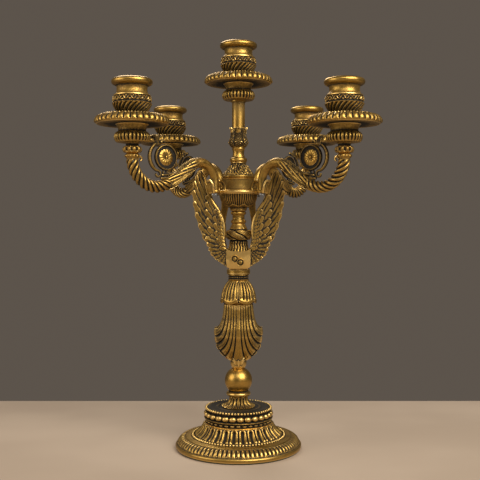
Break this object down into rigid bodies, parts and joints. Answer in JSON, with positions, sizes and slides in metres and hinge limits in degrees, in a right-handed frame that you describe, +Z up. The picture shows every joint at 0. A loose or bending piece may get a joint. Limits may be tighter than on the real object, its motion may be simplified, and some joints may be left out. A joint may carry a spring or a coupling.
{
  "type": "tabletop candelabra",
  "caption": "Tabletop candelabra: four scroll arms and a middle light on a winged baluster stem and round foot, with lift-out candle cups and drip pans.",
  "frame": {"origin": "middle of the felt's underside, where the foot stands on the table", "axes": "+Z up along the column, -Y towards the viewer, +X to the viewer's right"},
  "size_m": [0.2706, 0.2574, 0.4245],
  "materials": {
    "antique_brass": "aged gilt brass, dark patina in the hollows",
    "polished_brass": "smooth polished brass with light patina",
    "steel": "plain zinc-plated",
    "felt": "felt"
  },
  "bodies": {
    "frame": {"arm_back_left": "antique_brass", "arm_back_right": "antique_brass", "arm_front_left": "antique_brass", "arm_front_right": "antique_brass", "arm_screws": "steel", "ball_knop": "polished_brass", "base_foot": "antique_brass", "base_neck": "antique_brass", "base_nut": "steel", "base_plinth": "antique_brass", "base_washer": "steel", "bead_collar_back_left": "antique_brass", "bead_collar_back_right": "antique_brass", "bead_collar_front_left": "antique_brass", "bead_collar_front_right": "antique_brass", "beaded_collar": "antique_brass", "bell_skirt": "antique_brass", "center_tube": "polished_brass", "felt_pad": "felt", "foot_leaves": "antique_brass", "hub_cap": "antique_brass", "hub_drum": "antique_brass", "hub_plate": "antique_brass", "leaf_knop_lower": "antique_brass", "leaf_knop_upper": "antique_brass", "reeded_bowl": "antique_brass", "ring_neck": "antique_brass", "rod_nut_top": "steel", "rosettes": "antique_brass", "scroll_back_left": "antique_brass", "scroll_back_right": "antique_brass", "scroll_front_left": "antique_brass", "scroll_front_right": "antique_brass", "shell_stem": "antique_brass", "socket_back_left": "antique_brass", "socket_back_right": "antique_brass", "socket_center": "antique_brass", "socket_front_left": "antique_brass", "socket_front_right": "antique_brass", "socket_screws": "steel", "tie_rod": "steel", "upper_baluster": "antique_brass", "wing_block": "antique_brass", "wing_bracket_back": "antique_brass", "wing_bracket_front": "antique_brass", "wing_screws": "polished_brass"},
    "pan_center": {"drip_pan_center": "antique_brass"},
    "cup_center": {"candle_cup_center": "antique_brass"},
    "pan_front_left": {"drip_pan_front_left": "antique_brass"},
    "cup_front_left": {"candle_cup_front_left": "antique_brass"},
    "pan_front_right": {"drip_pan_front_right": "antique_brass"},
    "cup_front_right": {"candle_cup_front_right": "antique_brass"},
    "pan_back_left": {"drip_pan_back_left": "antique_brass"},
    "cup_back_left": {"candle_cup_back_left": "antique_brass"},
    "pan_back_right": {"drip_pan_back_right": "antique_brass"},
    "cup_back_right": {"candle_cup_back_right": "antique_brass"}
  },
  "joints": [
    {"name": "pan_lift_center", "type": "slide", "parent": "frame", "child": "pan_center", "axis": [0, 0, 1], "range_m": [0, 0.02]},
    {"name": "cup_lift_center", "type": "slide", "parent": "pan_center", "child": "cup_center", "axis": [0, 0, 1], "range_m": [0, 0.03]},
    {"name": "pan_lift_front_left", "type": "slide", "parent": "frame", "child": "pan_front_left", "axis": [0, 0, 1], "range_m": [0, 0.02]},
    {"name": "cup_lift_front_left", "type": "slide", "parent": "pan_front_left", "child": "cup_front_left", "axis": [0, 0, 1], "range_m": [0, 0.03]},
    {"name": "pan_lift_front_right", "type": "slide", "parent": "frame", "child": "pan_front_right", "axis": [0, 0, 1], "range_m": [0, 0.02]},
    {"name": "cup_lift_front_right", "type": "slide", "parent": "pan_front_right", "child": "cup_front_right", "axis": [0, 0, 1], "range_m": [0, 0.03]},
    {"name": "pan_lift_back_left", "type": "slide", "parent": "frame", "child": "pan_back_left", "axis": [0, 0, 1], "range_m": [0, 0.02]},
    {"name": "cup_lift_back_left", "type": "slide", "parent": "pan_back_left", "child": "cup_back_left", "axis": [0, 0, 1], "range_m": [0, 0.03]},
    {"name": "pan_lift_back_right", "type": "slide", "parent": "frame", "child": "pan_back_right", "axis": [0, 0, 1], "range_m": [0, 0.02]},
    {"name": "cup_lift_back_right", "type": "slide", "parent": "pan_back_right", "child": "cup_back_right", "axis": [0, 0, 1], "range_m": [0, 0.03]}
  ]
}
